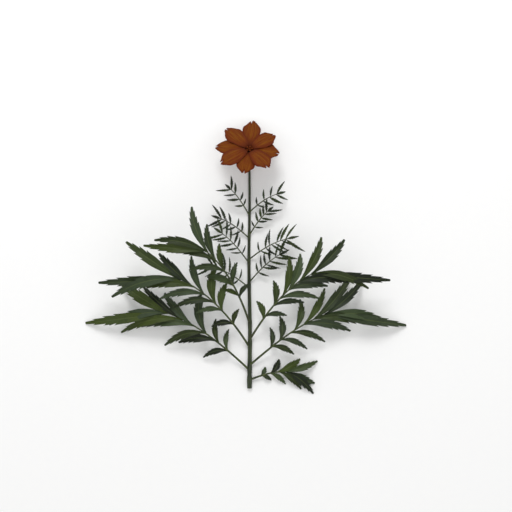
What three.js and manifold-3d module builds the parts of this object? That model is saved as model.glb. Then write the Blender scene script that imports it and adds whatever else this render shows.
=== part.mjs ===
// One marigold flowering stem, as picked and laid down on a table.
// Millimetres, +Z up. +Y runs along the stem from its cut end towards the bloom, and
// +X is to the right of someone who looks down on it with the bloom at the far end.

import * as THREE from 'three';
import * as BufferGeometryUtils from 'three/addons/utils/BufferGeometryUtils.js';
import Module from 'manifold-3d';

const wasm = await Module();
wasm.setup();

// ---------------------------------------------------------------- driving dimensions

const GAP = 0.3; // clearance between pieces that touch on the real flower

// The stem: a ribbed, tapering stalk that lies on the table and bends up at its neck.
const STEM_LENGTH = 175; // cut end to the start of the neck
const STEM_BASE_RADIUS = 2.1;
const STEM_TOP_RADIUS = 0.95;
const STEM_TAPER = 0.8; // exponent: below 1 it thins quickly at first
const STEM_RIBS = 5;
const RIB_DEPTH = 0.12; // share of the radius
const NECK_BEND_RADIUS = 14;
const NECK_ANGLE = THREE.MathUtils.degToRad(55); // how far the bloom lifts off the table

// The calyx: one smooth green cup that holds the bloom.
const CALYX_LENGTH = 16;
const CALYX_RADIUS = 4.75;
const CALYX_FOOT_RADIUS = 1.2;
const CALYX_MOUTH_RADIUS = 4.1;
const CALYX_WALL = 0.7;
const CALYX_FLOOR = 5; // height of the cup's inner floor above its foot

// The disc florets: slim tubes in the middle of the bloom.
const FLORET_RING = 5; // florets round the central one
const FLORET_RING_RADIUS = 1.45;
const FLORET_RADIUS = 0.55;
const FLORET_STAND = 2.4; // how far they stand out of the calyx

// The petals: broad ray florets on narrow claws, in two layers that overlap.
const PETAL_THICKNESS = 0.6;
// Half the petal's width, from the foot of its claw to its tip, at even shares of its length.
const PETAL_HALF_WIDTHS = [0.8, 0.85, 2.6, 4.4, 5.8, 6.8, 7.4, 7.4, 6.7, 5.4, 3.6];
const CLAW_RING_RADIUS = 2.7;
const CLAW_DEPTH = 2.5; // how far the claw goes down into the calyx
const LAYER_LIFT = 1.5; // the upper petals' height above the lower ones
const PETAL_HEADINGS = [-8, 31, 85, 134, 174, 216, 260, 306]; // degrees round the bloom
const PETAL_REACHES = [25, 25.2, 30, 28.4, 28.3, 29, 26.2, 26.4]; // bloom axis to each tip
const PETAL_DROOPS = [0.8, -0.8, -1.6, -0.8, 0.6, -0.6, -0.4, -0.6]; // mm lower than level at the tip

// The leaves: feather-shaped, each a stalk with pairs of narrow leaflets and one at the end.
// stalk holds the four control points of the stalk's curve, starting on the stem's axis.
const LOWER_LEAVES = [
  { name: 'lower_leaf_left_1', pairs: 6, longest: 56, width: 8.5, drop: 0.27,
    stalk: [[0, 15, 2], [-20, 35, 12], [-44, 56, 18], [-70, 64, 16]], end: [-136, 54, 0.5] },
  { name: 'lower_leaf_right_1', pairs: 6, longest: 55, width: 8.5, drop: 0.28,
    stalk: [[0, 19, 2], [20, 37, 12], [42, 56, 18], [66, 63, 16]], end: [130, 52, 0.5] },
  { name: 'lower_leaf_left_2', pairs: 6, longest: 52, width: 8, drop: 0.08,
    stalk: [[0, 34, 2], [-15, 60, 20], [-34, 82, 33], [-58, 92, 33]], end: [-122, 88, 26] },
  { name: 'lower_leaf_right_2', pairs: 6, longest: 52, width: 8, drop: 0.08,
    stalk: [[0, 40, 2], [14, 64, 20], [30, 86, 33], [52, 96, 33]], end: [114, 90, 26] },
  { name: 'lower_leaf_left_3', pairs: 5, longest: 42, width: 7, drop: 0.04,
    stalk: [[0, 54, 2], [-8, 80, 26], [-19, 102, 43], [-36, 115, 47]], end: [-84, 118, 43] },
  { name: 'lower_leaf_right_3', pairs: 4, longest: 28, width: 6.5, drop: 0.3,
    stalk: [[0, 7, 2], [12, 12, 5], [22, 15, 6], [32, 14, 5]], end: [54, 4, 0.5] },
];
// The upper leaves: side, distance from the cut end, length, pairs of leaflets, heading away
// from the stem in degrees, and how high the stalk arches.
const UPPER_LEAVES = [
  [-1, 83, 46, 6, 60, 7],
  [1, 88, 44, 6, 48, 9],
  [-1, 103, 44, 6, 42, 15],
  [1, 107, 46, 6, 62, 16],
  [-1, 124, 38, 5, 56, 8],
  [1, 127, 32, 5, 38, 7],
  [-1, 143, 34, 4, 36, 14],
  [1, 146, 35, 4, 58, 13],
];
const UPPER_LEAFLET_WIDTH = 2.4;
const STALK_BASE_RADIUS = 1.1;
const STALK_TIP_RADIUS = 0.45;
const UPPER_STALK_SCALE = 0.62; // the upper leaves' stalks are thinner
const LEAFLET_THICKNESS = 0.8;

const UP = new THREE.Vector3(0, 0, 1);

// ---------------------------------------------------------------- materials

function finish(colour, roughness) {
  return new THREE.MeshStandardMaterial({ color: colour, roughness, metalness: 0 });
}

const COLOURS = {
  stem: 0x56603c,
  calyx: 0x5d6434,
  petal: 0x96481c,
  floret: 0x6e2c18,
  lowerLeaf: 0x4c5c3a,
  upperLeaf: 0x34452a,
};

// ---------------------------------------------------------------- helpers

// A closed skin over a list of rings, with a flat fan over the first and the last ring.
// Each ring runs anticlockwise about the direction of travel.
function loft(rings) {
  const count = rings[0].length;
  const points = rings.flat();
  const triangles = [];
  for (let i = 0; i < rings.length - 1; i += 1) {
    for (let j = 0; j < count; j += 1) {
      const a = i * count + j;
      const b = i * count + ((j + 1) % count);
      triangles.push(a, b, b + count, a, b + count, a + count);
    }
  }
  const last = (rings.length - 1) * count;
  for (let j = 1; j < count - 1; j += 1) {
    triangles.push(0, j + 1, j);
    triangles.push(last, last + j, last + j + 1);
  }
  const geometry = new THREE.BufferGeometry().setFromPoints(points);
  geometry.setIndex(triangles);
  return geometry;
}

function toSolid(geometry) {
  const bare = geometry.clone();
  bare.deleteAttribute('normal');
  bare.deleteAttribute('uv');
  const merged = BufferGeometryUtils.mergeVertices(bare, 1e-4);
  return new wasm.Manifold(new wasm.Mesh({
    numProp: 3,
    vertProperties: new Float32Array(merged.attributes.position.array),
    triVerts: new Uint32Array(merged.index.array),
  }));
}

function toGeometry(solid) {
  const mesh = solid.getMesh();
  const geometry = new THREE.BufferGeometry();
  geometry.setAttribute('position', new THREE.BufferAttribute(mesh.vertProperties, 3));
  geometry.setIndex(new THREE.BufferAttribute(mesh.triVerts, 1));
  geometry.computeVertexNormals();
  return geometry;
}

function addPiece(group, name, geometry, material) {
  const mesh = new THREE.Mesh(geometry, material);
  mesh.name = name;
  group.add(mesh);
}

// The directions across a curve: side is level and lift is square to side and the curve.
function crossAxes(tangent) {
  const side = new THREE.Vector3().crossVectors(UP, tangent).normalize();
  const lift = new THREE.Vector3().crossVectors(tangent, side);
  return { side, lift };
}

function ringPoint(centre, axes, across, up) {
  return centre.clone().addScaledVector(axes.side, across).addScaledVector(axes.lift, up);
}

// ---------------------------------------------------------------- stem

function stemRadius(y) {
  const share = Math.pow(THREE.MathUtils.clamp(y / STEM_LENGTH, 0, 1), STEM_TAPER);
  return THREE.MathUtils.lerp(STEM_BASE_RADIUS, STEM_TOP_RADIUS, share);
}

// Centre and angle of the stem: straight on the table, then an arc up to the calyx.
const STEM_STEPS = 12;
const NECK_STEPS = 7;

function stemStations(endGap) {
  const stations = [];
  for (let i = 0; i <= STEM_STEPS; i += 1) {
    const y = (STEM_LENGTH * i) / STEM_STEPS;
    stations.push({ y, z: stemRadius(y), angle: 0, radius: stemRadius(y) });
  }
  const reach = NECK_ANGLE - endGap / NECK_BEND_RADIUS;
  for (let i = 1; i <= NECK_STEPS; i += 1) {
    const angle = (reach * i) / NECK_STEPS;
    stations.push({
      y: STEM_LENGTH + NECK_BEND_RADIUS * Math.sin(angle),
      z: STEM_TOP_RADIUS + NECK_BEND_RADIUS * (1 - Math.cos(angle)),
      angle,
      radius: STEM_TOP_RADIUS,
    });
  }
  return stations;
}

function stemGeometry(extraRadius) {
  const corners = STEM_RIBS * 2;
  const rings = stemStations(GAP).map((station) => {
    const centre = new THREE.Vector3(0, station.y, station.z);
    const tangent = new THREE.Vector3(0, Math.cos(station.angle), Math.sin(station.angle));
    const axes = crossAxes(tangent);
    const ring = [];
    for (let j = 0; j < corners; j += 1) {
      const turn = (2 * Math.PI * (j + 0.5)) / corners;
      const rib = j % 2 === 0 ? 1 : 1 - RIB_DEPTH;
      const radius = extraRadius > 0 ? station.radius + extraRadius : station.radius * rib;
      ring.push(ringPoint(centre, axes, radius * Math.cos(turn), radius * Math.sin(turn)));
    }
    return ring;
  });
  return loft(rings);
}

// ---------------------------------------------------------------- leaves

function along(curve, share) {
  return { point: curve.getPoint(share), tangent: curve.getTangent(share) };
}

function stalkGeometry(curve, baseRadius, tipRadius, steps) {
  const rings = [];
  for (let i = 0; i <= steps; i += 1) {
    const share = i / steps;
    const { point, tangent } = along(curve, share);
    const axes = crossAxes(tangent);
    const radius = THREE.MathUtils.lerp(baseRadius, tipRadius, share);
    const ring = [];
    for (let j = 0; j < 6; j += 1) {
      const turn = (Math.PI * j) / 3;
      ring.push(ringPoint(point, axes, radius * Math.cos(turn), radius * Math.sin(turn)));
    }
    rings.push(ring);
  }
  return loft(rings);
}

// A lance-shaped leaflet: a thin diamond section that follows its midrib.
// Each station is a share of the length and how full the leaflet's width is there.
const BROAD_LEAFLET = [[0, 0.15], [0.3, 0.4], [0.62, 1], [0.85, 0.75], [1, 0.12]];
const SLIM_LEAFLET = [[0, 0.25], [0.3, 1], [0.7, 0.75], [1, 0.12]];

function leafletGeometry(leaf, start, bend, end, width) {
  const midrib = new THREE.QuadraticBezierCurve3(start, bend, end);
  const thickness = leaf.thickness;
  const rings = leaf.stations.map(([share, fullness]) => {
    const { point, tangent } = along(midrib, share);
    const axes = crossAxes(tangent);
    const half = (width * fullness) / 2;
    const lift = (thickness * (0.4 + 0.6 * fullness)) / 2;
    return [
      ringPoint(point, axes, half, 0),
      ringPoint(point, axes, 0, lift),
      ringPoint(point, axes, -half, 0),
      ringPoint(point, axes, 0, -lift),
    ];
  });
  return loft(rings);
}

// Where one leaflet runs: it leaves the stalk sideways and sweeps forward to its tip.
function leafletLine(leaf, curve, pair, hand) {
  const rank = leaf.pairs > 1 ? pair / (leaf.pairs - 1) : 1;
  const share = THREE.MathUtils.lerp(leaf.firstPair, 0.96, rank);
  const { point, tangent } = along(curve, share);
  const { side } = crossAxes(tangent);
  const forward = new THREE.Vector3(tangent.x, tangent.y, 0).normalize();
  const splay = THREE.MathUtils.degToRad(THREE.MathUtils.lerp(leaf.splay[0], leaf.splay[1], rank));
  const length = leaf.longest * THREE.MathUtils.lerp(leaf.shortest, 1, Math.pow(rank, 0.9));
  const direction = forward.clone().multiplyScalar(Math.cos(splay));
  direction.addScaledVector(side, hand * Math.sin(splay));
  const outward = forward.clone().multiplyScalar(Math.cos(splay * leaf.sweep));
  outward.addScaledVector(side, hand * Math.sin(splay * leaf.sweep));
  const bend = point.clone().addScaledVector(outward, length * 0.5);
  bend.z += length * leaf.arch;
  const end = point.clone().addScaledVector(direction, length);
  end.y -= length * leaf.sag;
  end.z = Math.max(leaf.lowest, point.z - length * leaf.drop);
  return { start: point, bend, end, length };
}

function leafGeometry(leaf, sleeve) {
  const curve = new THREE.CubicBezierCurve3(...leaf.stalk.map((p) => new THREE.Vector3(...p)));
  const base = STALK_BASE_RADIUS * leaf.stalkScale;
  const tip = STALK_TIP_RADIUS * leaf.stalkScale;
  let solid = toSolid(stalkGeometry(curve, base, tip, leaf.stalkSteps));
  for (let pair = 0; pair < leaf.pairs; pair += 1) {
    for (const hand of [1, -1]) {
      const line = leafletLine(leaf, curve, pair, hand);
      const width = leaf.width * Math.min(1, 0.35 + (0.65 * line.length) / leaf.longest);
      const leaflet = leafletGeometry(leaf, line.start, line.bend, line.end, width);
      solid = solid.add(toSolid(leaflet));
    }
  }
  const start = curve.getPoint(0.97);
  const end = new THREE.Vector3(...leaf.end);
  const bend = start.clone().lerp(end, 0.5);
  bend.z = Math.max(start.z, end.z) + leaf.arch * leaf.longest * 0.6;
  solid = solid.add(toSolid(leafletGeometry(leaf, start, bend, end, leaf.width)));
  return toGeometry(solid.subtract(sleeve));
}

function lowerLeaf(plan) {
  return {
    ...plan,
    firstPair: 0.28,
    splay: [48, 24],
    sweep: 0.5,
    sag: 0.14,
    shortest: 0.34,
    arch: 0.14,
    lowest: 0.5,
    thickness: LEAFLET_THICKNESS,
    stations: BROAD_LEAFLET,
    stalkScale: 1,
    stalkSteps: 9,
  };
}

function upperLeaf([hand, place, length, pairs, headingDegrees, rise], index) {
  const heading = THREE.MathUtils.degToRad(headingDegrees);
  const reach = (share, bow, height) => [
    hand * Math.sin(heading) * length * share,
    place + (Math.cos(heading) * share + bow) * length,
    stemRadius(place) + height,
  ];
  return {
    name: `upper_leaf_${hand < 0 ? 'left' : 'right'}_${Math.floor(index / 2) + 1}`,
    pairs,
    longest: length * 0.36,
    width: UPPER_LEAFLET_WIDTH,
    drop: 0.12,
    stalk: [
      reach(0, 0, 0), reach(0.25, 0.06, rise * 0.6), reach(0.5, 0.08, rise), reach(0.78, 0, rise),
    ],
    end: reach(1, -0.06, rise * 0.6),
    firstPair: 0.3,
    splay: [60, 40],
    sweep: 1.2,
    sag: 0.04,
    shortest: 0.6,
    arch: 0.06,
    lowest: 0.5,
    thickness: LEAFLET_THICKNESS * 0.75,
    stations: SLIM_LEAFLET,
    stalkScale: UPPER_STALK_SCALE,
    stalkSteps: 6,
  };
}

// ---------------------------------------------------------------- bloom

// The calyx cup, turned about its own axis: up the outside, over the rim, down the inside.
function calyxGeometry() {
  const inner = (radius) => radius - CALYX_WALL;
  const outline = [
    [0, 0], [CALYX_FOOT_RADIUS, 0], [2.4, 2.2], [3.7, 5], [4.5, 8.2],
    [CALYX_RADIUS, 11], [4.55, 13.8], [CALYX_MOUTH_RADIUS, CALYX_LENGTH],
    [inner(CALYX_MOUTH_RADIUS), CALYX_LENGTH], [inner(4.55), 13.8], [inner(CALYX_RADIUS), 11],
    [inner(4.5), 8.2], [inner(3.7), CALYX_FLOOR], [0, CALYX_FLOOR],
  ];
  const lathe = new THREE.LatheGeometry(outline.map(([r, h]) => new THREE.Vector2(r, h)), 16);
  lathe.rotateX(Math.PI / 2);
  return toGeometry(toSolid(lathe));
}

// A disc floret: a slim tube that opens into a small flared mouth.
function floretGeometry() {
  const foot = CALYX_FLOOR + GAP;
  const top = CALYX_LENGTH + FLORET_STAND;
  const outline = [
    [0, foot], [0.35, foot], [0.38, top - 3], [FLORET_RADIUS, top - 0.8],
    [FLORET_RADIUS, top], [0.25, top - 0.5], [0, top - 1.2],
  ];
  const lathe = new THREE.LatheGeometry(outline.map(([r, h]) => new THREE.Vector2(r, h)), 8);
  lathe.rotateX(Math.PI / 2);
  return lathe;
}

// The petal's middle line in the plane of the bloom's axis: up out of the calyx, over
// its rim, and out in a low arch that droops at the tip.
function petalLine(lift, droop, reach) {
  const mouth = CALYX_LENGTH;
  return new THREE.CatmullRomCurve3([
    new THREE.Vector3(CLAW_RING_RADIUS, 0, mouth - CLAW_DEPTH),
    new THREE.Vector3(CLAW_RING_RADIUS + 0.05, 0, mouth + 0.1 + lift * 0.7),
    new THREE.Vector3(4.6, 0, mouth + 1.5 + lift),
    new THREE.Vector3(reach * 0.37, 0, mouth + 2.6 + lift),
    new THREE.Vector3(reach * 0.63, 0, mouth + 2.7 + lift - droop * 0.15),
    new THREE.Vector3(reach * 0.84, 0, mouth + 2.2 + lift - droop * 0.5),
    new THREE.Vector3(reach, 0, mouth + 1.0 + lift - droop),
  ]);
}

function petalHalfWidth(share) {
  const place = share * (PETAL_HALF_WIDTHS.length - 1);
  const below = Math.min(Math.floor(place), PETAL_HALF_WIDTHS.length - 2);
  return THREE.MathUtils.lerp(PETAL_HALF_WIDTHS[below], PETAL_HALF_WIDTHS[below + 1], place - below);
}

const PETAL_LENGTHWAYS = 11;
const PETAL_ACROSS = 4;
const PETAL_TIP_DIP = 0.06; // how far the middle of the tip falls short, as a share

function petalGeometry(heading, lift, droop, reach) {
  const line = petalLine(lift, droop, reach);
  const rings = [];
  for (let i = 0; i <= PETAL_LENGTHWAYS; i += 1) {
    const share = i / PETAL_LENGTHWAYS;
    const half = petalHalfWidth(share);
    const upper = [];
    const lower = [];
    for (let j = 0; j <= PETAL_ACROSS; j += 1) {
      const v = (2 * j) / PETAL_ACROSS - 1;
      const dip = PETAL_TIP_DIP * (1 - Math.abs(v)) * THREE.MathUtils.smoothstep(share, 0.8, 1);
      const centre = line.getPointAt(share - dip);
      const tangent = line.getTangentAt(share - dip);
      const normal = new THREE.Vector3(-tangent.z, 0, tangent.x);
      const thick = (PETAL_THICKNESS / 2) * (Math.abs(v) === 1 ? 0.5 : 1);
      const at = (offset) => centre.clone().addScaledVector(normal, offset).setY(v * half);
      upper.push(at(thick));
      lower.push(at(-thick));
    }
    rings.push([...upper.reverse(), ...lower]);
  }
  const geometry = loft(rings);
  geometry.rotateZ(THREE.MathUtils.degToRad(heading));
  geometry.computeVertexNormals();
  return geometry;
}

// ---------------------------------------------------------------- the flower

const flower = new THREE.Group();

addPiece(flower, 'stem', toGeometry(toSolid(stemGeometry(0))), finish(COLOURS.stem, 0.6));
const sleeve = toSolid(stemGeometry(GAP));

for (const plan of LOWER_LEAVES) {
  const geometry = leafGeometry(lowerLeaf(plan), sleeve);
  addPiece(flower, plan.name, geometry, finish(COLOURS.lowerLeaf, 0.5));
}

UPPER_LEAVES.forEach((row, index) => {
  const leaf = upperLeaf(row, index);
  addPiece(flower, leaf.name, leafGeometry(leaf, sleeve), finish(COLOURS.upperLeaf, 0.55));
});

// The bloom's own frame: its origin at the calyx foot and +Z along the bloom's axis.
const bloom = new THREE.Group();
bloom.position.set(
  0,
  STEM_LENGTH + NECK_BEND_RADIUS * Math.sin(NECK_ANGLE),
  STEM_TOP_RADIUS + NECK_BEND_RADIUS * (1 - Math.cos(NECK_ANGLE)),
);
bloom.rotation.x = NECK_ANGLE - Math.PI / 2;
flower.add(bloom);

addPiece(bloom, 'calyx_cup', calyxGeometry(), finish(COLOURS.calyx, 0.45));

addPiece(bloom, 'disc_floret_1', floretGeometry(), finish(COLOURS.floret, 0.6));
for (let i = 0; i < FLORET_RING; i += 1) {
  const turn = (2 * Math.PI * i) / FLORET_RING;
  const floret = floretGeometry();
  floret.translate(FLORET_RING_RADIUS * Math.cos(turn), FLORET_RING_RADIUS * Math.sin(turn), 0);
  addPiece(bloom, `disc_floret_${i + 2}`, floret, finish(COLOURS.floret, 0.6));
}

PETAL_HEADINGS.forEach((heading, i) => {
  const lift = i % 2 === 1 ? LAYER_LIFT : 0;
  const petal = petalGeometry(heading, lift, PETAL_DROOPS[i], PETAL_REACHES[i]);
  addPiece(bloom, `petal_${i + 1}`, petal, finish(COLOURS.petal, 0.6));
});

// The origin goes to the middle of the whole flower's footprint, on the table.
flower.updateMatrixWorld(true);
const box = new THREE.Box3().setFromObject(flower, true);
flower.position.set(-(box.min.x + box.max.x) / 2, -(box.min.y + box.max.y) / 2, -box.min.z);

export default flower;
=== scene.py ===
# %% [markdown]
# # A marigold flower on its cut stem
#
# One picked marigold lies on a table: a ribbed stem, a green calyx cup, eight broad petals,
# a knot of tiny florets, and feather-shaped leaves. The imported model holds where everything
# is and how big it is. This lesson gives each piece its real surface.

import math
import random

import bpy
import numpy as np
from mathutils import Matrix, Vector


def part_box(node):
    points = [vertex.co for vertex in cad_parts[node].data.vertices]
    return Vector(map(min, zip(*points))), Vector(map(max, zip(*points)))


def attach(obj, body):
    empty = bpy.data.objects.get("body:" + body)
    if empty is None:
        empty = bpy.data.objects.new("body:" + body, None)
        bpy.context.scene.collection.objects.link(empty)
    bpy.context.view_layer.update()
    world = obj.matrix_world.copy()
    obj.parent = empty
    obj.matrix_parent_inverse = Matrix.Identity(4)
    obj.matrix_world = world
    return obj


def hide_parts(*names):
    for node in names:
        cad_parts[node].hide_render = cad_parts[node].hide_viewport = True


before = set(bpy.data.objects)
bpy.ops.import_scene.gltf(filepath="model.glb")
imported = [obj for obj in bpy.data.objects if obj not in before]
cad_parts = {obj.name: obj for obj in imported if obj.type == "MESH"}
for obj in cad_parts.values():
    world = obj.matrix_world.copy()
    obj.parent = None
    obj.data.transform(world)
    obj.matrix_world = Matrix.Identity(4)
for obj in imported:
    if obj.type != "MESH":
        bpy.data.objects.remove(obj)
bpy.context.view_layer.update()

# %% [markdown]
# ## Where the flower lies
#
# Every size below is in millimetres, measured from the middle of the stem's cut end: Y runs
# along the stem to the bloom, Z is up. The stem's own box says where that point is in the
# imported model, so `spot` can turn a place on the flower into a place in the scene.

# %% Find the cut end
MM = 0.001
stem_low, stem_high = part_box("stem")
CUT_END = Vector(((stem_low.x + stem_high.x) / 2, stem_low.y, 0))


def spot(x, y, z):
    return CUT_END + Vector((x, y, z)) * MM


STEM_LENGTH = 175
STEM_BASE_RADIUS = 2.0
STEM_TOP_RADIUS = 0.92
NECK_BEND_RADIUS = 14
NECK_ANGLE = math.radians(55)
CALYX_LENGTH = 16

# The bloom has a frame of its own, with +Z along its axis and its origin at the calyx foot.
BLOOM = Matrix.Translation(spot(
    0,
    STEM_LENGTH + NECK_BEND_RADIUS * math.sin(NECK_ANGLE),
    STEM_TOP_RADIUS + NECK_BEND_RADIUS * (1 - math.cos(NECK_ANGLE)),
)) @ Matrix.Rotation(NECK_ANGLE - math.pi / 2, 4, "X")

# %% [markdown]
# ## Helpers for modelling
#
# Operators act on whatever is selected, so each piece starts with nothing selected.
# `only` selects one object, `settle` joins a finished piece to the model: it rides on the
# one body and stands for its plain solid.

# %% Selecting, finishing and handing over a piece


def only(piece):
    bpy.ops.object.select_all(action="DESELECT")
    piece.select_set(True)
    bpy.context.view_layer.objects.active = piece


def apply_modifiers(piece):
    only(piece)
    for modifier in list(piece.modifiers):
        bpy.ops.object.modifier_apply(modifier=modifier.name)


def settle(piece, name, node, smooth_angle=50):
    piece.name = name
    piece.data.name = name
    only(piece)
    bpy.ops.object.shade_smooth_by_angle(angle=math.radians(smooth_angle))
    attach(piece, "root")
    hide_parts(node)
    return piece


def select_where(piece, test):
    """Goes into edit mode with only the vertices that pass the test selected."""
    bpy.ops.object.mode_set(mode="OBJECT")
    for part in (piece.data.polygons, piece.data.edges):
        part.foreach_set("select", [False] * len(part))
    for vertex in piece.data.vertices:
        vertex.select = test(vertex)
    bpy.ops.object.mode_set(mode="EDIT")


# %% [markdown]
# ## Shader maths that reads like maths
#
# A `Wire` is one socket. Adding or multiplying wires lays down Math nodes, so a mask can be
# written as `1 - edge * streak`. A `Paint` is one material with a method for any other node.

# %% Wire and Paint


class Wire:
    def __init__(self, paint, socket):
        self.paint = paint
        self.socket = socket

    def math(self, operation, *values):
        return self.paint.node("ShaderNodeMath", {"operation": operation}, values)

    def __add__(self, other):
        return self.math("ADD", self, other)

    __radd__ = __add__

    def __mul__(self, other):
        return self.math("MULTIPLY", self, other)

    __rmul__ = __mul__

    def __sub__(self, other):
        return self.math("SUBTRACT", self, other)

    def __rsub__(self, other):
        return self.math("SUBTRACT", other, self)

    def absolute(self):
        return self.math("ABSOLUTE", self)

    def fraction(self):
        return self.math("FRACT", self)

    def ping_pong(self, length):
        return self.math("PINGPONG", self, length)

    def at_most(self, cap):
        return self.math("MINIMUM", self, cap)

    def smooth(self, low, high):
        """0 below low, 1 above high, and an S curve between them."""
        ends = {"Value": self, "From Min": low, "From Max": high}
        return self.paint.node("ShaderNodeMapRange", {"interpolation_type": "SMOOTHSTEP"}, ends)


class Paint:
    def __init__(self, name, **constants):
        self.material = bpy.data.materials.new(name)
        self.material.use_nodes = True
        self.tree = self.material.node_tree
        self.shader = self.tree.nodes["Principled BSDF"]
        for socket, value in constants.items():
            self.shader.inputs[socket.replace("_", " ")].default_value = value

    def node(self, kind, settings=None, sockets=(), output=0):
        node = self.tree.nodes.new(kind)
        for key, value in (settings or {}).items():
            setattr(node, key, value)
        pairs = sockets.items() if isinstance(sockets, dict) else enumerate(sockets)
        for key, value in pairs:
            self.join(node.inputs[key], value)
        return Wire(self, node.outputs[output])

    def join(self, socket, value):
        if isinstance(value, Wire):
            self.tree.links.new(value.socket, socket)
        else:
            socket.default_value = value

    def mix(self, factor, first, second):
        sockets = {0: factor, 6: first, 7: second}
        return self.node("ShaderNodeMix", {"data_type": "RGBA"}, sockets, output=2)

    def pattern(self, vector, stretch, scale, detail=3.0):
        """Noise that is stretched by a Mapping node."""
        mapped = self.node("ShaderNodeMapping", {}, {"Vector": vector, "Scale": stretch})
        sockets = {"Vector": mapped, "Scale": scale, "Detail": detail}
        return self.node("ShaderNodeTexNoise", {}, sockets)

    def place(self):
        return self.node("ShaderNodeTexCoord", output=3)

    def sheet_uv(self):
        """Across and along a sheet, each from 0 to 1, and the whole vector."""
        uv = self.node("ShaderNodeUVMap", {"uv_map": "UVMap"})
        split = self.node("ShaderNodeSeparateXYZ", {}, [uv])
        along = Wire(self, split.socket.node.outputs[1])
        return split, along, uv

    def shade(self, name):
        """A number that the mesh carries, such as each leaflet's own tone."""
        return self.node("ShaderNodeAttribute", {"attribute_name": name}, output=2)

    def finish(self, colour, roughness, height, bump_distance, bump_strength=0.6):
        bump = self.node("ShaderNodeBump", {}, {
            "Strength": bump_strength, "Distance": bump_distance, "Height": height,
        })
        self.join(self.shader.inputs["Base Color"], colour)
        self.join(self.shader.inputs["Roughness"], roughness)
        self.join(self.shader.inputs["Normal"], bump)
        return self.material


def tone(red, green, blue):
    """A colour as it shows on a screen, 0 to 255, made linear for a shader."""
    linear = []
    for value in (red, green, blue):
        value /= 255
        linear.append(value / 12.92 if value < 0.04045 else ((value + 0.055) / 1.055) ** 2.4)
    return (*linear, 1.0)


# %% [markdown]
# ## Petal finish
#
# A marigold petal is velvety. Fine pleats run along it, warm yellow-brown streaks fill its
# middle, its margin is a deeper red, and it darkens towards the claw. All of that follows the
# petal, so it reads the sheet's own UV map. The underside is duller and paler; its pale mauve
# pink is partly its own colour and partly painted sheen, the glow grazing light gives velvet.

# %% Petal materials


def petal_paint(name, middle, streak_tone, margin, heart, dullness):
    paint = Paint(name, Specular_IOR_Level=0.08)
    across, along, uv = paint.sheet_uv()
    edge = (across - 0.5).absolute() * 2
    own = paint.shade("shade")
    shifted = paint.node("ShaderNodeVectorMath", {"operation": "ADD"}, [uv, own])
    streaks = paint.pattern(shifted, (1.0, 0.06, 1.0), 34, 4.0).smooth(0.42, 0.62)
    fine = paint.pattern(shifted, (1.0, 0.035, 1.0), 95, 2.0)
    blotch = paint.pattern(shifted, (1.0, 1.0, 1.0), 4.5, 3.0).smooth(0.35, 0.7)
    limb = along.smooth(0.22, 0.5) * (1 - along.smooth(0.82, 1.0) * 0.6)
    rim = edge.smooth(0.55, 1.0)
    tip = along.smooth(0.86, 1.0)
    colour = paint.mix(blotch * 0.45, middle, margin)
    colour = paint.mix(streaks * limb * (1 - rim) * 0.75, colour, streak_tone)
    colour = paint.mix((rim + tip).at_most(1.0) * 0.7, colour, margin)
    colour = paint.mix((1 - along.smooth(0.12, 0.36)) * 0.85, colour, heart)
    colour = paint.mix(fine.smooth(0.55, 0.75) * 0.3, colour, heart)
    roughness = 0.55 + fine * 0.2 + dullness
    height = fine * 0.6 + streaks * 0.4
    return paint.finish(colour, roughness, height, 0.00025)


PETAL_FACE = petal_paint(
    "petal_face", tone(106, 47, 9), tone(122, 72, 9), tone(88, 29, 12),
    tone(76, 28, 10), 0.0)
# The underside's pale pink tones are partly the petal's own duller colour and partly painted
# sheen.
PETAL_BACK = petal_paint(
    "petal_back", tone(158, 118, 112), tone(170, 132, 122), tone(134, 84, 78),
    tone(88, 70, 40), 0.12)

# %% [markdown]
# ## Green finishes
#
# Leaflets differ: some are olive, some run to a near-black deep green that is painted shade
# for leaflets lying in shadow, and some are painted a cool grey, a painted sheen for where
# light skims them. Each one carries its own `shade` number, and the veins follow its UV
# map. The stalks, the stem and the calyx are fibrous, so their patterns are stretched
# lengthwise.

# %% Leaf, stalk, stem and calyx materials
SIDE_VEINS = 11
VEIN_SLANT = 1.6
# Multiplying a leaflet's own number by this and keeping the fraction gives it a second one,
# which sets how much painted sheen it gets.
SHEEN_STEP = 7.3


def leaf_paint(name, deep_and_shaded, fresh, sheen_grey, vein_tone, roughness_base):
    paint = Paint(name, Specular_IOR_Level=0.25)
    across, along, uv = paint.sheet_uv()
    from_rib = (across - 0.5).absolute() * 2
    own = paint.shade("shade")
    mottle = paint.pattern(paint.place(), (1, 1, 1), 160, 4.0)
    broad = paint.pattern(paint.place(), (1, 1, 1), 38, 2.0).smooth(0.35, 0.65)
    grain = paint.pattern(paint.place(), (1, 1, 1), 900, 3.0)
    midrib = 1 - from_rib.smooth(0.03, 0.14)
    slant = along * SIDE_VEINS - from_rib * VEIN_SLANT
    comb = slant.ping_pong(0.5) * 2
    side_veins = (1 - comb.smooth(0.0, 0.22)) * from_rib.smooth(0.08, 0.2)
    sheen_share = (own * SHEEN_STEP).fraction()
    # Painted shade: leaflets with a low own number are painted towards a near-black green that
    # stands for a leaflet lying in shadow.
    colour = paint.mix(own.smooth(0.15, 0.9), deep_and_shaded, fresh)
    # Painted sheen: some leaflets, and broad noise patches, are painted a cool grey that stands
    # for light skimming the leaf.
    colour = paint.mix(sheen_share.smooth(0.35, 0.9) * 0.75, colour, sheen_grey)
    colour = paint.mix(broad * 0.3, colour, sheen_grey)
    colour = paint.mix(mottle.smooth(0.5, 0.75) * 0.4, colour, deep_and_shaded)
    colour = paint.mix(side_veins * 0.22, colour, vein_tone)
    colour = paint.mix(midrib * 0.6, colour, vein_tone)
    colour = paint.mix(from_rib.smooth(0.86, 1.0) * 0.35, colour, deep_and_shaded)
    roughness = roughness_base + mottle * 0.18
    height = grain * 0.35 - side_veins * 0.5 - midrib * 0.9
    return paint.finish(colour, roughness, height, 0.0003)


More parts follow.
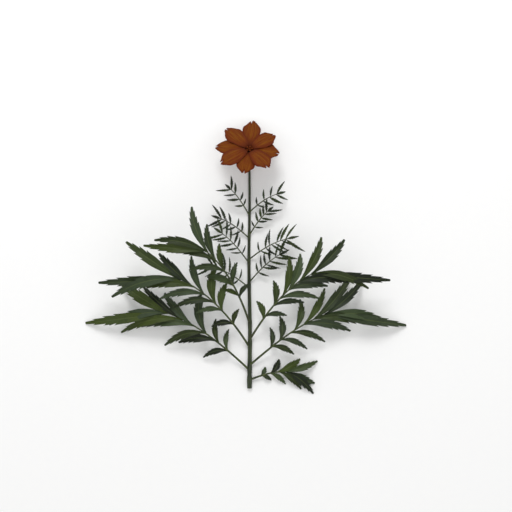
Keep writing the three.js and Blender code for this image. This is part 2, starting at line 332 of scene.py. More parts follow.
def fibre_paint(name, dark, light, edge_tone, stretch, scale, roughness_base):
    paint = Paint(name, Specular_IOR_Level=0.4)
    fibres = paint.pattern(paint.place(), stretch, scale, 4.0)
    patches = paint.pattern(paint.place(), (1, 1, 1), 60, 2.0)
    specks = paint.pattern(paint.place(), (1, 1, 1), 1400, 2.0)
    colour = paint.mix(fibres.smooth(0.36, 0.64), dark, light)
    colour = paint.mix(patches.smooth(0.5, 0.75) * 0.35, colour, edge_tone)
    colour = paint.mix(specks.smooth(0.62, 0.75) * 0.3, colour, dark)
    roughness = roughness_base + fibres * 0.2
    height = fibres * 0.8 + specks * 0.2
    return paint.finish(colour, roughness, height, 0.00025)


# In each leaf finish the first tone is a deep green that also serves as painted shade, and the
# third is a cool grey painted sheen.
LOWER_FACE = leaf_paint(
    "leaf_face_lower", tone(14, 23, 5), tone(57, 70, 16), tone(60, 74, 50),
    tone(80, 92, 48), 0.4)
LOWER_BACK = leaf_paint(
    "leaf_back_lower", tone(52, 64, 40), tone(78, 88, 52), tone(84, 94, 76),
    tone(104, 112, 76), 0.5)
UPPER_FACE = leaf_paint(
    "leaf_face_upper", tone(14, 22, 9), tone(48, 60, 22), tone(38, 50, 34),
    tone(74, 82, 46), 0.42)
UPPER_BACK = leaf_paint(
    "leaf_back_upper", tone(34, 42, 24), tone(62, 72, 38), tone(58, 68, 52),
    tone(82, 90, 56), 0.5)
STALK = fibre_paint(
    "leaf_stalk", tone(36, 46, 20), tone(70, 80, 38), tone(60, 52, 30), (1, 1, 1), 420, 0.4)
STEM = fibre_paint(
    "stem_skin", tone(26, 34, 18), tone(60, 70, 42), tone(48, 40, 24), (1, 0.04, 1), 900, 0.42)
CALYX = fibre_paint(
    "calyx_skin", tone(46, 54, 22), tone(86, 90, 38), tone(30, 36, 14), (1, 0.2, 0.2), 500, 0.34)
print("leaf and stem finishes ready")

# %% [markdown]
# ## Floret and cut-end finishes
#
# The little florets are red-brown tubes with a warmer mouth, and the cut end of the stem
# shows pale pith inside a darker ring. The florets change along the `shade` number that rises
# up each tube; the pith is mottled with pores, and the darker ring is the stem's own skin.

# %% Floret and pith materials


def floret_paint():
    paint = Paint("floret_skin", Specular_IOR_Level=0.1)
    height_in_bloom = paint.shade("shade")
    specks = paint.pattern(paint.place(), (1, 1, 1), 2200, 3.0)
    colour = paint.mix(height_in_bloom.smooth(0.8, 1.0), tone(104, 38, 16), tone(128, 62, 24))
    colour = paint.mix(specks.smooth(0.5, 0.7) * 0.5, colour, tone(72, 24, 14))
    return paint.finish(colour, 0.55 + specks * 0.2, specks, 0.0002)


def pith_paint():
    paint = Paint("stem_pith", Specular_IOR_Level=0.3)
    pores = paint.pattern(paint.place(), (1, 1, 1), 2600, 3.0)
    colour = paint.mix(pores.smooth(0.35, 0.6), tone(120, 122, 78), tone(190, 190, 146))
    return paint.finish(colour, 0.6 + pores * 0.2, pores, 0.0003)


FLORET = floret_paint()
PITH = pith_paint()

# %% [markdown]
# ## Stem
#
# The real stem is angular: five ribs run along it, it swells where leaves join, and it thins
# towards the bloom. It could be a curve with a round section, but then it would have no ribs.
# So it starts as a circle whose points are pushed in and out by turns, and that section is
# extruded along the stem step by step, then round the neck.

# %% Model the stem
LEAF_JOINTS = [7, 17, 37, 54, 85, 105, 126, 145]
STEM_SIDES = 30
STEM_RIBS = 5


def stem_radius(y):
    share = min(max(y / STEM_LENGTH, 0), 1) ** 0.8
    plain = STEM_BASE_RADIUS + (STEM_TOP_RADIUS - STEM_BASE_RADIUS) * share
    swell = max(math.exp(-((y - joint) / 2.6) ** 2) for joint in LEAF_JOINTS)
    return plain * (1 + 0.16 * swell)


def stem_path():
    """Places and tilts of the section, from the cut end to the foot of the calyx."""
    stations = []
    for y in np.arange(0, STEM_LENGTH, 2.0):
        sway = 0.5 * math.sin(y / 23) * math.sin(math.pi * y / STEM_LENGTH)
        stations.append((sway, y, stem_radius(y), 0.0, stem_radius(y)))
    for angle in np.linspace(0, NECK_ANGLE, 16):
        y = STEM_LENGTH + NECK_BEND_RADIUS * math.sin(angle)
        z = STEM_TOP_RADIUS + NECK_BEND_RADIUS * (1 - math.cos(angle))
        flare = STEM_TOP_RADIUS * (1 + 0.3 * (angle / NECK_ANGLE) ** 4)
        stations.append((0.0, y, z, float(angle), flare))
    return stations


def model_stem():
    path = stem_path()
    x, y, z, _, radius = path[0]
    bpy.ops.object.select_all(action="DESELECT")
    bpy.ops.mesh.primitive_circle_add(
        vertices=STEM_SIDES, radius=radius * MM, fill_type="NGON", location=spot(x, y, z),
        rotation=(math.pi / 2, 0, 0))
    stem = bpy.context.object
    bpy.ops.object.transform_apply(location=True, rotation=True, scale=True)
    middle = spot(x, y, z)
    per_rib = STEM_SIDES // STEM_RIBS
    for vertex in stem.data.vertices:
        rib = math.cos(2 * math.pi * vertex.index / per_rib)
        vertex.co = middle + (vertex.co - middle) * (0.95 + 0.07 * rib)
    bpy.ops.object.mode_set(mode="EDIT")
    bpy.ops.mesh.select_all(action="SELECT")
    for before, after in zip(path, path[1:]):
        here, there = spot(*before[:3]), spot(*after[:3])
        bpy.ops.mesh.extrude_region_move(TRANSFORM_OT_translate={"value": there - here})
        grow = after[4] / before[4]
        bpy.ops.transform.resize(value=(grow, grow, grow), center_override=there)
        turn = after[3] - before[3]
        if turn:
            bpy.ops.transform.rotate(
                value=-turn, orient_axis="X", orient_type="GLOBAL", center_override=there)
    bpy.ops.object.mode_set(mode="OBJECT")
    return stem


def cut_the_end(stem):
    """Sinks the pith a little inside the cut end's rind."""
    stem.data.materials.append(STEM)
    stem.data.materials.append(PITH)
    only(stem)
    select_where(stem, lambda vertex: vertex.co.y < CUT_END.y + 0.5 * MM)
    bpy.ops.mesh.select_mode(type="FACE")
    bpy.ops.mesh.inset(thickness=0.45 * MM, depth=0)
    bpy.ops.mesh.extrude_region_move(TRANSFORM_OT_translate={"value": (0, 0.35 * MM, 0)})
    stem.active_material_index = 1
    bpy.ops.object.material_slot_assign()
    bpy.ops.mesh.select_mode(type="VERT")
    bpy.ops.mesh.select_all(action="SELECT")
    bpy.ops.mesh.normals_make_consistent(inside=False)
    bpy.ops.object.mode_set(mode="OBJECT")


stem = model_stem()
cut_the_end(stem)
settle(stem, "ribbed_stem", "stem", 60)
print("stem faces:", len(stem.data.polygons))

# %% [markdown]
# ## Calyx
#
# The calyx is one cup of green bracts grown together: a smooth urn with faint ribs and a
# ring of short teeth at its mouth. It is extruded upwards from its foot one ring at a time,
# each ring scaled to the cup's profile, over the rim and down the inside.

# %% Model the calyx
CALYX_PROFILE = [
    (1.15, 0), (1.6, 0.8), (2.4, 2.2), (3.1, 3.6), (3.75, 5.2), (4.25, 7), (4.58, 9),
    (4.7, 11), (4.62, 12.6), (4.4, 14.2), (4.15, 15.6), (4.0, 16.3), (3.75, 16.3),
    (3.7, 15.0), (3.8, 13), (3.9, 10.5), (3.6, 7.5), (2.9, 5.4),
]
CALYX_SIDES = 48
CALYX_BRACTS = 8


def model_calyx():
    bpy.ops.object.select_all(action="DESELECT")
    radius, _ = CALYX_PROFILE[0]
    bpy.ops.mesh.primitive_circle_add(
        vertices=CALYX_SIDES, radius=radius * MM, fill_type="NGON", location=(0, 0, 0))
    calyx = bpy.context.object
    bpy.ops.object.mode_set(mode="EDIT")
    bpy.ops.mesh.select_all(action="SELECT")
    for before, after in zip(CALYX_PROFILE, CALYX_PROFILE[1:]):
        rise = (after[1] - before[1]) * MM
        grow = after[0] / before[0]
        bpy.ops.mesh.extrude_region_move(TRANSFORM_OT_translate={"value": (0, 0, rise)})
        bpy.ops.transform.resize(
            value=(grow, grow, 1), center_override=(0, 0, after[1] * MM))
    bpy.ops.object.mode_set(mode="OBJECT")
    return calyx


def shape_bracts(calyx):
    """Raises a faint rib down each bract and pulls its tip up into a tooth."""
    for vertex in calyx.data.vertices:
        turn = math.atan2(vertex.co.y, vertex.co.x)
        crest = 0.5 + 0.5 * math.cos(turn * CALYX_BRACTS)
        height = vertex.co.z / MM
        rib = 1 + 0.035 * (crest ** 2 - 0.4) * min(1, height / 5)
        vertex.co.x *= rib
        vertex.co.y *= rib
        if height > 15.8:
            vertex.co.z += (1.5 * crest ** 1.5 - 0.4) * MM
            vertex.co.x *= 1 - 0.03 * crest
            vertex.co.y *= 1 - 0.03 * crest
    calyx.data.transform(BLOOM)
    calyx.data.materials.append(CALYX)
    only(calyx)
    bpy.ops.object.mode_set(mode="EDIT")
    bpy.ops.mesh.select_all(action="SELECT")
    bpy.ops.mesh.normals_make_consistent(inside=False)
    bpy.ops.object.mode_set(mode="OBJECT")


calyx = model_calyx()
shape_bracts(calyx)
settle(calyx, "calyx", "calyx_cup", 60)

# %% [markdown]
# ## Disc florets
#
# In the middle stand a few tubular florets, each a slim tube that flares into five lobes.
# One is extruded from a circle and pinched into lobes. It is then copied, turned and leaned a
# little, each copy with a mesh of its own. The `shade` number rises up the tube so that the
# finish can turn from red-brown to a warmer brown at the mouth.

# %% Model one floret and copy it
FLORET_RING_RADIUS = 1.45
FLORET_PROFILE = [
    (0.34, 5.4), (0.36, 10), (0.4, 14.5), (0.5, 16.2), (0.62, 17.2), (0.68, 17.8),
    (0.7, 18.3), (0.66, 18.6), (0.5, 18.6), (0.34, 18.3), (0.2, 17.8),
]
FLORET_SIDES = 20
MOUTH_STARTS = 14.5
MOUTH_LENGTH = 4.2


def model_floret():
    bpy.ops.object.select_all(action="DESELECT")
    radius, height = FLORET_PROFILE[0]
    bpy.ops.mesh.primitive_circle_add(
        vertices=FLORET_SIDES, radius=radius * MM, fill_type="NGON",
        location=(0, 0, height * MM))
    floret = bpy.context.object
    bpy.ops.object.transform_apply(location=True, rotation=True, scale=True)
    bpy.ops.object.mode_set(mode="EDIT")
    bpy.ops.mesh.select_all(action="SELECT")
    for before, after in zip(FLORET_PROFILE, FLORET_PROFILE[1:]):
        rise = (after[1] - before[1]) * MM
        grow = after[0] / before[0]
        bpy.ops.mesh.extrude_region_move(TRANSFORM_OT_translate={"value": (0, 0, rise)})
        bpy.ops.transform.resize(
            value=(grow, grow, 1), center_override=(0, 0, after[1] * MM))
    bpy.ops.mesh.select_all(action="SELECT")
    bpy.ops.mesh.normals_make_consistent(inside=False)
    bpy.ops.object.mode_set(mode="OBJECT")
    for vertex in floret.data.vertices:
        turn = math.atan2(vertex.co.y, vertex.co.x)
        spread = max(0, vertex.co.z / MM - 17.4)
        lobe = 1 + 0.22 * spread * math.cos(5 * turn)
        vertex.co.x *= lobe
        vertex.co.y *= lobe
    rise = floret.data.attributes.new("shade", "FLOAT", "POINT")
    rise.data.foreach_set("value", [
        (vertex.co.z / MM - MOUTH_STARTS) / MOUTH_LENGTH for vertex in floret.data.vertices])
    floret.data.materials.append(FLORET)
    return floret


def place_florets(first):
    chance = random.Random(4)
    for i in range(6):
        copy = first if i == 5 else first.copy()
        if i < 5:
            copy.data = first.data.copy()
            bpy.context.collection.objects.link(copy)
        ring = 0 if i == 5 else FLORET_RING_RADIUS
        turn = 2 * math.pi * i / 5
        lean = Matrix.Rotation(0 if i == 5 else 0.03, 4, (-math.sin(turn), math.cos(turn), 0))
        stretch = Matrix.Diagonal((1, 1, 1 - 0.03 * chance.random(), 1))
        foot = Matrix.Translation((ring * MM * math.cos(turn), ring * MM * math.sin(turn), 0))
        spin = Matrix.Rotation(chance.uniform(0, 6), 4, "Z")
        copy.data.transform(BLOOM @ foot @ lean @ stretch @ spin)
        number = 1 if i == 5 else i + 2
        settle(copy, f"floret_{number}", f"disc_floret_{number}", 60)


place_florets(model_floret())
print("florets placed")

# %% [markdown]
# ## Petals
#
# Each petal is a thin sheet on a narrow claw that climbs out of the calyx, folds over the
# rim and spreads out almost flat. Its end is broad, with one narrow notch and a few small
# teeth, and its tip droops. A flat grid is added first. Scaling rows by hand can't give the
# notch, the pleats and the ruffled rim together, so every point of the grid is sent to its
# place by one formula, and a Solidify modifier then gives the sheet its thickness.

# %% The petal's shape
PETAL_HALF_WIDTHS = [0.9, 1.4, 3.1, 4.7, 5.9, 6.8, 7.4, 7.4, 6.7, 5.4, 3.6]
PETAL_THICKNESS = 0.3
LAYER_LIFT = 1.5
# Depths of the cuts in a petal's end, as shares of its length.
NOTCH_DEPTH, NOTCH_WIDTH = 0.115, 0.12
TOOTH_DEPTH = 0.016
SHOULDER_FALL = 0.1
# How far the sheet leaves a smooth surface, in millimetres.
RUFFLE, PLEAT, GROOVE, CURL = 0.38, 0.13, 0.22, 0.7
PETAL_HEADINGS = [-8, 31, 85, 134, 174, 216, 260, 306]
PETAL_REACHES = [25, 25.2, 30, 28.4, 28.3, 29, 26.2, 26.4]
PETAL_DROOPS = [0.8, -0.8, -1.6, -0.8, 0.6, -0.6, -0.4, -0.6]


def smooth_line(points, samples=60):
    """A dense line through the points, with how far along it each sample is."""
    points = np.array(points, float)
    padded = np.vstack([2 * points[0] - points[1], points, 2 * points[-1] - points[-2]])
    t = np.linspace(0, 1, samples, endpoint=False)[:, None]
    pieces = []
    for a, b, c, d in zip(padded, padded[1:], padded[2:], padded[3:]):
        pieces.append(0.5 * (
            2 * b + (c - a) * t + (2 * a - 5 * b + 4 * c - d) * t ** 2
            + (3 * b - a - 3 * c + d) * t ** 3))
    line = np.vstack([*pieces, points[-1]])
    steps = np.linalg.norm(np.diff(line, axis=0), axis=1)
    travelled = np.concatenate([[0], np.cumsum(steps)])
    return line, travelled / travelled[-1]


def ease(value, low, high):
    share = np.clip((value - low) / (high - low), 0, 1)
    return share * share * (3 - 2 * share)


def petal_places(across, along, heading, lift, droop, reach_out, chance):
    """Where the points of a petal go, for across from -1 to 1 and along from 0 to 1."""
    top = CALYX_LENGTH
    line, share = smooth_line([
        (2.7, top - 2.5), (2.75, top + 0.1 + lift * 0.7), (4.6, top + 1.5 + lift),
        (reach_out * 0.37, top + 2.6 + lift),
        (reach_out * 0.63, top + 2.7 + lift - droop * 0.15),
        (reach_out * 0.84, top + 2.2 + lift - droop * 0.5),
        (reach_out, top + 1.0 + lift - droop),
    ])
    notch_at = chance.uniform(-0.3, 0.3)
    notch = NOTCH_DEPTH * np.exp(-(np.abs(across - notch_at) / NOTCH_WIDTH) ** 1.6)
    teeth = TOOTH_DEPTH * np.abs(np.sin(across * 8 + chance.uniform(0, 3)))
    shoulders = SHOULDER_FALL * np.abs(across) ** 2
    reach = along * (1 - (notch + teeth + shoulders) * ease(along, 0.66, 1.0))
    radius = np.interp(reach, share, line[:, 0])
    height = np.interp(reach, share, line[:, 1])
    before, after = np.clip(reach - 0.01, 0, 1), np.clip(reach + 0.01, 0, 1)
    slope_r = np.interp(after, share, line[:, 0]) - np.interp(before, share, line[:, 0])
    slope_h = np.interp(after, share, line[:, 1]) - np.interp(before, share, line[:, 1])
    size = np.hypot(slope_r, slope_h)
    normal_r, normal_h = -slope_h / size, slope_r / size
    limb = ease(along, 0.12, 0.5)
    width_line, _ = smooth_line([(i, half) for i, half in enumerate(PETAL_HALF_WIDTHS)])
    half = np.interp(along * (len(PETAL_HALF_WIDTHS) - 1), width_line[:, 0], width_line[:, 1])
    phase = chance.uniform(0, 6)
    rim = np.abs(across) ** 3
    ruffle = RUFFLE * rim * np.sin(along * 17 + phase + across * 1.5) * limb
    pleats = PLEAT * np.cos(across * 15 + phase) * limb * (1 - rim)
    groove = -GROOVE * np.exp(-(across / 0.12) ** 2) * limb
    curl = -CURL * np.abs(across) ** 2.2 * limb + chance.uniform(-0.25, 0.25) * across * limb
    offset = ruffle + pleats + groove + curl
    radius = radius + normal_r * offset
    height = height + normal_h * offset
    sway = chance.uniform(-0.5, 0.5) * ease(along, 0.3, 1.0)
    side = half * across + sway
    turn = math.radians(heading)
    x = radius * math.cos(turn) - side * math.sin(turn)
    y = radius * math.sin(turn) + side * math.cos(turn)
    return np.column_stack([x, y, height]) * MM


# %% [markdown]
# `lay` moves every point of a flat unit grid to the place that a formula gives, and
# `tone_of` writes one number into each point for the finish to read.

# %% Model the petals


def lay(piece, formula):
    count = len(piece.data.vertices)
    flat = np.empty(count * 3)
    piece.data.vertices.foreach_get("co", flat)
    flat = flat.reshape(-1, 3)
    piece.data.vertices.foreach_set("co", formula(flat[:, 0], flat[:, 1]).ravel())
    piece.data.update()


def tone_of(piece, value):
    shade = piece.data.attributes.new("shade", "FLOAT", "POINT")
    shade.data.foreach_set("value", [value] * len(piece.data.vertices))


def flat_grid(columns, rows):
    """A flat sheet, -1 to 1 across and 0 to 1 along."""
    bpy.ops.object.select_all(action="DESELECT")
    bpy.ops.mesh.primitive_grid_add(x_subdivisions=columns, y_subdivisions=rows, size=2)
    sheet = bpy.context.object
    sheet.data.transform(Matrix.Translation((0, 0.5, 0)) @ Matrix.Diagonal((1, 0.5, 1, 1)))
    return sheet


def thicken(piece, thickness):
    shell = piece.modifiers.new("thickness", "SOLIDIFY")
    shell.thickness = thickness * MM
    shell.offset = 0
    shell.material_offset = 1
    apply_modifiers(piece)


def model_petal(number, heading, droop, reach_out):
    chance = random.Random(number * 7 + 1)
    petal = flat_grid(40, 52)
    lift = LAYER_LIFT if number % 2 == 0 else 0
    lay(petal, lambda across, along: petal_places(
        across, along, heading, lift, droop, reach_out, chance))
    tone_of(petal, number * 1.37)
    petal.data.transform(BLOOM)
    petal.data.materials.append(PETAL_FACE)
    petal.data.materials.append(PETAL_BACK)
    petal.data.flip_normals()
    thicken(petal, PETAL_THICKNESS)
    return settle(petal, f"ray_petal_{number}", f"petal_{number}", 70)


petal_plans = zip(PETAL_HEADINGS, PETAL_DROOPS, PETAL_REACHES)
for number, plan in enumerate(petal_plans, start=1):
    petal = model_petal(number, *plan)
print("petals made, faces in each:", len(petal.data.polygons))

# %% [markdown]
# ## One leaflet
#
# A marigold leaf is cut into narrow leaflets with saw teeth that point forward. One flat
# leaflet is made of a grid: rows are set four to a tooth, the edge swells towards each
# tooth's point and steps back after it. Big leaflets have a long smooth foot and a few coarse
# teeth, small ones are toothed almost from their foot.

# %% Outline of a toothed leaflet
SMOOTH_ROWS = 6
TOOTH_ROWS = (0.02, 0.35, 0.7, 0.95)


def leaflet_rows(teeth, bare):
    """Where the rows lie along the leaflet, and how far along its tooth each one is."""
    rows = [(bare * i / SMOOTH_ROWS, 1.0) for i in range(SMOOTH_ROWS)]
    for tooth in range(teeth):
        for part in TOOTH_ROWS:
            rows.append((bare + (1 - bare) * (tooth + part) / teeth, part))
    rows.append((1.0, 0.0))
    return rows


def model_leaflet(name, columns, teeth, bare, depth, widest):
    """bare is the untoothed share at the foot; widest is where the blade is broadest."""
    rows = leaflet_rows(teeth, bare)
    leaflet = flat_grid(columns, len(rows) - 1)
    leaflet.name = name
    last = len(rows) - 1
    places = np.array([row[0] for row in rows])
    parts = np.array([row[1] for row in rows])

    def outline(across, along):
        index = np.rint(along * last).astype(int)
        place, part = places[index], parts[index]
        rising = np.sin(np.clip(place / widest, 0, 1) * math.pi / 2) ** 1.5
        falling = np.clip((1 - place) / (1 - widest), 0, 1) ** 0.68
        body = 0.14 * (1 - place) + 0.86 * rising * falling + 0.02
        body = np.where(place > 0.995, 0.02, body)
        cut = 1 - depth * (1 - part) * ease(place, bare, bare + 0.15)
        lean = 0.6 * depth * part * np.abs(across) ** 3 / teeth * ease(place, bare, 0.6)
        return np.column_stack([across * body * cut, place + lean, np.zeros_like(place)])

    lay(leaflet, outline)
    return leaflet


COARSE = model_leaflet("coarse_leaflet", 8, 4, 0.46, 0.32, 0.62)
FINE = model_leaflet("fine_leaflet", 4, 6, 0.15, 0.4, 0.45)
print("leaflet faces:", len(COARSE.data.polygons), len(FINE.data.polygons))

# %% [markdown]
# ## Laying leaflets on a leaf
#
# A leaf is a curved stalk with pairs of leaflets and one at its end. Each leaflet follows its
# own midrib, a bent line that leaves the stalk sideways, rises a little and sweeps forward to
# a drooping tip. The copies differ a little in length, direction, fold and twist, as on a
# plant. The stalk is a Bezier curve with a round bevel, turned into a mesh.

# %% Curves for stalks and midribs
UP = np.array([0.0, 0.0, 1.0])


def cubic(points, share):
    a, b, c, d = (np.array(p, float) for p in points)
    t = share
    place = (1 - t) ** 3 * a + 3 * (1 - t) ** 2 * t * b + 3 * (1 - t) * t * t * c + t ** 3 * d
    way = 3 * (1 - t) ** 2 * (b - a) + 6 * (1 - t) * t * (c - b) + 3 * t * t * (d - c)
    return place, way / np.linalg.norm(way)


def midrib_places(across, along, line, width, fold, twist, wave):
    """Lays a flat leaflet along the bent line from start to end."""
    start, bend, end = line
    t = np.clip(along, 0, 1)[:, None]
    middle = (1 - t) ** 2 * start + 2 * (1 - t) * t * bend + t * t * end
    way = 2 * (1 - t) * (bend - start) + 2 * t * (end - bend)
    way = way / np.linalg.norm(way, axis=1, keepdims=True)
    right = np.cross(way, UP)
    right = right / np.linalg.norm(right, axis=1, keepdims=True)
    lift = np.cross(right, way)
    half = across * width / 2
    turn = twist * along
    raised = np.abs(half) * fold + wave * np.sin(along * 9 + across * 2) * np.abs(across) * along
    side = half * np.cos(turn) - raised * np.sin(turn)
    rise = half * np.sin(turn) + raised * np.cos(turn)
    return middle + right * side[:, None] + lift * rise[:, None]


def place_leaflet(flat, line, width, chance, wave):
    """Copies the flat leaflet and lays the copy along its line."""
    leaflet = flat.copy()
    leaflet.data = flat.data.copy()
    bpy.context.collection.objects.link(leaflet)
    fold = chance.uniform(0.15, 0.5)
    twist = chance.uniform(-0.5, 0.5)

    def formula(across, along):
        placed = midrib_places(across, along, line, width, fold, twist, wave)
        placed[:, 2] = np.maximum(placed[:, 2], 0.35)
        return placed * MM + np.array(CUT_END)

    lay(leaflet, formula)
    tone_of(leaflet, chance.uniform(0.0, 1.0))
    return leaflet


# %% [markdown]
# The stalk and the leaflets of a leaf grew as one piece, so they are joined into one mesh.
# The leaflets get their thickness before the stalk joins them, because the stalk is already
# round.

# %% Build a leaf from a plan


def model_stalk(points, base_radius, tip_radius):
    bpy.ops.object.select_all(action="DESELECT")
    bpy.ops.curve.primitive_bezier_curve_add(location=(0, 0, 0))
    stalk = bpy.context.object
    curve = stalk.data
    curve.bevel_depth = base_radius * MM
    curve.bevel_resolution = 3
    curve.resolution_u = 24
    curve.use_fill_caps = True
    first, last = curve.splines[0].bezier_points
    for point in (first, last):
        point.handle_left_type = point.handle_right_type = "FREE"
    a, b, c, d = (spot(*p) for p in points)
    first.co, first.handle_right, first.handle_left = a, b, a - (b - a)
    last.co, last.handle_left, last.handle_right = d, c, d + (d - c)
    first.radius = 1.0
    last.radius = tip_radius / base_radius
    bpy.ops.object.convert(target="MESH")
    stalk = bpy.context.object
    bpy.ops.object.mode_set(mode="EDIT")
    bpy.ops.mesh.select_all(action="SELECT")
    bpy.ops.mesh.remove_doubles(threshold=0.01 * MM)
    bpy.ops.mesh.normals_make_consistent(inside=False)
    bpy.ops.object.mode_set(mode="OBJECT")
    stalk.data.materials.clear()
    stalk.data.materials.append(STALK)
    return stalk


def leaflet_line(plan, pair, hand, chance):
    rank = pair / max(1, plan["pairs"] - 1)
    share = plan["first"] + (0.96 - plan["first"]) * rank
    share = min(0.97, share + chance.uniform(-0.03, 0.03))
    start, way = cubic(plan["stalk"], share)
    forward = np.array([way[0], way[1], 0.0])
    forward /= np.linalg.norm(forward)
    left = np.array([-forward[1], forward[0], 0.0])
    splay = plan["splay"][0] + (plan["splay"][1] - plan["splay"][0]) * rank
    splay = math.radians(splay + chance.uniform(-10, 10))
    length = plan["longest"] * (plan["shortest"] + (1 - plan["shortest"]) * rank ** 0.9)
    length *= chance.uniform(0.82, 1.12)
    ahead = forward * math.cos(splay) + left * hand * math.sin(splay)
    early = splay * plan["sweep"]
    outward = forward * math.cos(early) + left * hand * math.sin(early)
    bend = start + outward * length * 0.5 + UP * length * plan["arch"]
    end = start + ahead * length
    end[1] -= plan["sag"] * length
    end[2] = max(plan["lowest"], start[2] - length * plan["drop"])
    return (start, bend, end), length


def model_leaf(plan):
    chance = random.Random(plan["seed"])
    flat = plan["flat"]
    leaflets = []
    for pair in range(plan["pairs"]):
        for hand in (1, -1):
            line, length = leaflet_line(plan, pair, hand, chance)
            width = plan["width"] * min(1, 0.35 + 0.65 * length / plan["longest"])
            width *= chance.uniform(0.84, 1.14)
            leaflets.append(place_leaflet(flat, line, width, chance, plan["wave"]))
    start, way = cubic(plan["stalk"], 0.97)
    end = np.array(plan["end"], float)
    bend = (start + end) / 2
    bend[2] = max(start[2], end[2]) + plan["arch"] * plan["longest"] * 0.6
    line = (start, bend, end)
    leaflets.append(place_leaflet(flat, line, plan["width"], chance, plan["wave"]))
    leaf = leaflets[0]
    only(leaf)
    for leaflet in leaflets[1:]:
        leaflet.select_set(True)
    bpy.ops.object.join()
    leaf.data.materials.append(plan["face"])
    leaf.data.materials.append(plan["back"])
    thicken(leaf, plan["thickness"])
    stalk = model_stalk(plan["stalk"], plan["stalk_radius"], plan["stalk_radius"] * 0.45)
    only(leaf)
    stalk.select_set(True)
    bpy.ops.object.join()
    return settle(leaf, plan["name"] + "_blade", plan["name"], 55)


# %% [markdown]
# ## Lower leaves
#
# The big lower leaves arch out of the stem like feathers: short leaflets near the stem, long
# ones towards the end, tips hanging down to the table. Their stalks follow the same control
# points as the plain solids that they stand for.

# %% Model the lower leaves
LOWER_PLANS = [
    ("lower_leaf_left_1", 6, 56, 10.0, 0.27,
     [(0, 15, 2), (-20, 35, 12), (-44, 56, 18), (-70, 64, 16)], (-136, 54, 0.5)),
    ("lower_leaf_right_1", 6, 55, 10.0, 0.28,
     [(0, 19, 2), (20, 37, 12), (42, 56, 18), (66, 63, 16)], (130, 52, 0.5)),
    ("lower_leaf_left_2", 6, 52, 9.4, 0.08,
     [(0, 34, 2), (-15, 60, 20), (-34, 82, 33), (-58, 92, 33)], (-122, 88, 26)),
    ("lower_leaf_right_2", 6, 52, 9.4, 0.08,
     [(0, 40, 2), (14, 64, 20), (30, 86, 33), (52, 96, 33)], (114, 90, 26)),
    ("lower_leaf_left_3", 5, 42, 8.4, 0.04,
     [(0, 54, 2), (-8, 80, 26), (-19, 102, 43), (-36, 115, 47)], (-84, 118, 43)),
    ("lower_leaf_right_3", 4, 28, 7.8, 0.3,
     [(0, 7, 2), (12, 12, 5), (22, 15, 6), (32, 14, 5)], (54, 4, 0.5)),
]

for seed, (name, pairs, longest, width, drop, stalk, end) in enumerate(LOWER_PLANS):
    leaf = model_leaf({
        "name": name, "seed": seed + 11, "pairs": pairs, "longest": longest, "width": width,
        "drop": drop, "stalk": stalk, "end": end, "first": 0.28, "splay": (48, 24),
        "sweep": 0.5, "shortest": 0.34, "arch": 0.14, "sag": 0.14, "lowest": 0.5, "wave": 0.7,
        "thickness": 0.32, "stalk_radius": 0.95, "flat": COARSE,
        "face": LOWER_FACE, "back": LOWER_BACK,
    })
    print(name, "faces:", len(leaf.data.polygons))

# %% [markdown]
# ## Upper leaves
#
# Higher up, the leaves are small, dark and finely cut, in opposite pairs that get shorter
# towards the bloom. One rule gives all of them: each is scaled by its length and mirrored to
# its side of the stem.

# %% Model the upper leaves
# Side, distance from the cut end, length, pairs, heading in degrees, and arch height.
UPPER_LEAVES = [
    (-1, 83, 46, 6, 60, 7),
    (1, 88, 44, 6, 48, 9),
    (-1, 103, 44, 6, 42, 15),
    (1, 107, 46, 6, 62, 16),
    (-1, 124, 38, 5, 56, 8),
    (1, 127, 32, 5, 38, 7),
    (-1, 143, 34, 4, 36, 14),
    (1, 146, 35, 4, 58, 13),
]


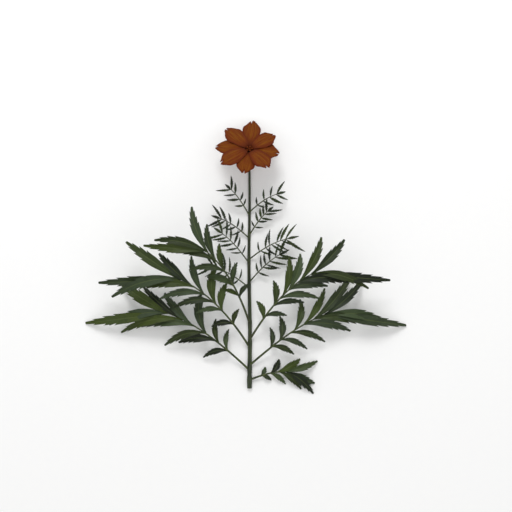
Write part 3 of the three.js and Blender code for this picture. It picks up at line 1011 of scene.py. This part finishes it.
def model_upper_leaf(index, hand, place, length, pairs, heading, rise):
    heading = math.radians(heading)

    def reach(share, bow, height):
        return (
            hand * math.sin(heading) * length * share,
            place + (math.cos(heading) * share + bow) * length,
            stem_radius(place) + height,
        )

    side = "left" if hand < 0 else "right"
    return model_leaf({
        "name": f"upper_leaf_{side}_{index // 2 + 1}", "seed": 40 + index, "pairs": pairs,
        "longest": length * 0.36, "width": 2.9, "drop": 0.12,
        "stalk": [reach(0, 0, 0), reach(0.25, 0.06, rise * 0.6), reach(0.5, 0.08, rise),
                  reach(0.78, 0, rise)],
        "end": reach(1, -0.06, rise * 0.6), "first": 0.3, "splay": (60, 40), "sweep": 1.2,
        "shortest": 0.6, "arch": 0.06, "sag": 0.04, "lowest": 0.5, "wave": 0.2,
        "thickness": 0.25, "stalk_radius": 0.6, "flat": FINE,
        "face": UPPER_FACE, "back": UPPER_BACK,
    })


for index, row in enumerate(UPPER_LEAVES):
    model_upper_leaf(index, *row)

for flat in (COARSE, FINE):
    bpy.data.objects.remove(flat)
print("leaves made")

# %% [markdown]
# ## Table, light and camera
#
# The flower lies on a plain white table under a soft light from beyond the bloom, with a
# pale surround to open the shadows. The camera looks straight down on it.

# %% Table


def paper_white():
    paint = Paint("table_paper", Specular_IOR_Level=0.1)
    grain = paint.pattern(paint.place(), (1, 1, 1), 180, 3.0)
    colour = paint.mix(grain, tone(247, 247, 247), tone(249, 249, 248))
    return paint.finish(colour, 0.8 + grain * 0.1, grain, 0.0001, 0.1)


bpy.ops.object.select_all(action="DESELECT")
bpy.ops.mesh.primitive_plane_add(size=6, location=(0, 0, 0))
table = bpy.context.object
table.name = "table"
table.data.materials.append(paper_white())

# %% Lights


def soft_light(name, place, aim, size, power):
    light = bpy.data.lights.new(name, "AREA")
    light.size = size
    light.energy = power
    lamp = bpy.data.objects.new(name, light)
    bpy.context.collection.objects.link(lamp)
    lamp.location = place
    lamp.rotation_euler = (Vector(aim) - Vector(place)).to_track_quat("-Z", "Y").to_euler()


soft_light("key_light", (-0.15, 0.9, 1.1), (0, 0, 0), 0.5, 8)
soft_light("fill_light", (0.7, -0.7, 1.2), (0, 0, 0), 1.2, 1)

world = bpy.data.worlds.new("pale_room")
bpy.context.scene.world = world
world.use_nodes = True
world.node_tree.nodes["Background"].inputs["Color"].default_value = (1, 1, 1, 1)
world.node_tree.nodes["Background"].inputs["Strength"].default_value = 0.75
bpy.context.scene.view_settings.view_transform = "Standard"

# %% Camera
camera_data = bpy.data.cameras.new("camera")
camera_data.lens = 85
camera = bpy.data.objects.new("camera", camera_data)
bpy.context.collection.objects.link(camera)
VIEW_WIDTH = 425
aim = spot(5.4, 109.6, 0)
camera.location = aim + Vector((0, 0, VIEW_WIDTH * MM * camera_data.lens / 36))
camera.rotation_euler = (0, 0, 0)
bpy.context.scene.camera = camera
